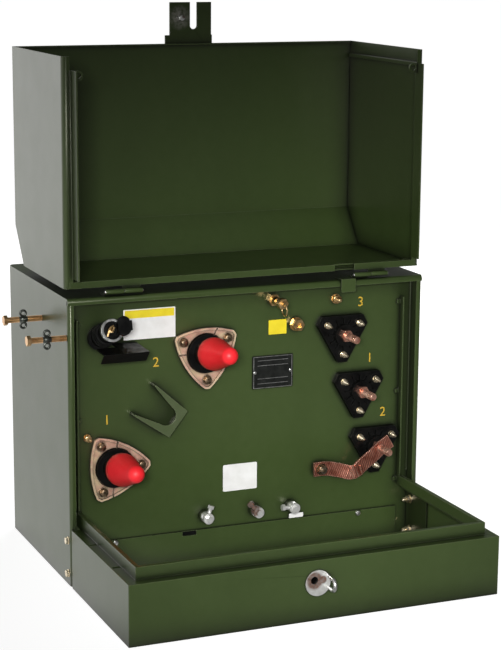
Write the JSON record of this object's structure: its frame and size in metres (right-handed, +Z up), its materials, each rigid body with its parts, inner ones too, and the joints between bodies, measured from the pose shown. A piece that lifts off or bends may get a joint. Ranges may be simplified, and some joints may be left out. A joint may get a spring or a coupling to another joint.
{
  "type": "electrical transformer",
  "caption": "Single-phase pad-mounted transformer: steel tank with terminal compartment, front sill and a hinged flip-top hood swung open.",
  "frame": {"origin": "on the ground under the middle of the whole object, hood open", "axes": "+Z up, the open terminal compartment faces -Y, +X to the right seen from the front"},
  "size_m": [0.897, 0.847, 1.196],
  "materials": {
    "green_paint": "semi-gloss dark green paint",
    "zinc_plated_steel": "zinc plated",
    "clamp_alloy": "plated, pale copper gold",
    "black_polymer": "moulded black polymer",
    "red_plastic": "moulded red plastic",
    "copper": "bare copper",
    "brass": "dull brass",
    "black_plate": "black anodised"
  },
  "bodies": {
    "cabinet": {"tank_left_side": "green_paint", "tank_right_side": "green_paint", "tank_back": "green_paint", "tank_cover": "green_paint", "tank_bottom": "green_paint", "terminal_plate": "green_paint", "kick_plate": "green_paint", "left_guide_strip": "green_paint", "right_guide_strip": "green_paint", "sill_front": "green_paint", "sill_left": "green_paint", "sill_right": "green_paint", "left_sill_bracket": "green_paint", "right_sill_bracket": "green_paint", "lock_plate": "zinc_plated_steel", "padlock_staple": "zinc_plated_steel", "tank_hinge_leaves": "green_paint", "hinge_pins": "zinc_plated_steel", "rim_clip": "green_paint", "lower_clamp": "clamp_alloy", "lower_well": "black_polymer", "lower_dust_cap": "red_plastic", "upper_clamp": "clamp_alloy", "upper_well": "black_polymer", "upper_dust_cap": "red_plastic", "top_secondary_bushing": "black_polymer", "middle_secondary_bushing": "black_polymer", "bottom_secondary_bushing": "black_polymer", "top_stud": "copper", "middle_stud": "copper", "bottom_stud": "copper", "ground_strap": "copper", "strap_boss": "zinc_plated_steel", "ground_bosses": "green_paint", "ground_connectors": "zinc_plated_steel", "fuse_housing": "black_polymer", "fuse_cap": "zinc_plated_steel", "drip_shield": "black_polymer", "relief_valve": "brass", "fill_plug": "brass", "parking_stand": "green_paint", "rating_plate": "black_plate", "left_lifting_bolts": "brass"},
    "hood": {"hood_shell": "green_paint", "hood_left_side": "green_paint", "hood_right_side": "green_paint", "hood_rails": "green_paint", "latch_tab": "green_paint", "latch_bolt": "zinc_plated_steel", "hood_hinge_leaves": "green_paint"}
  },
  "joints": [
    {"name": "hood_hinge", "type": "hinge", "parent": "cabinet", "child": "hood", "pos_m": [0.042, -0.016, 0.624], "axis": [1, 0, 0], "range_deg": [0, 180]}
  ]
}
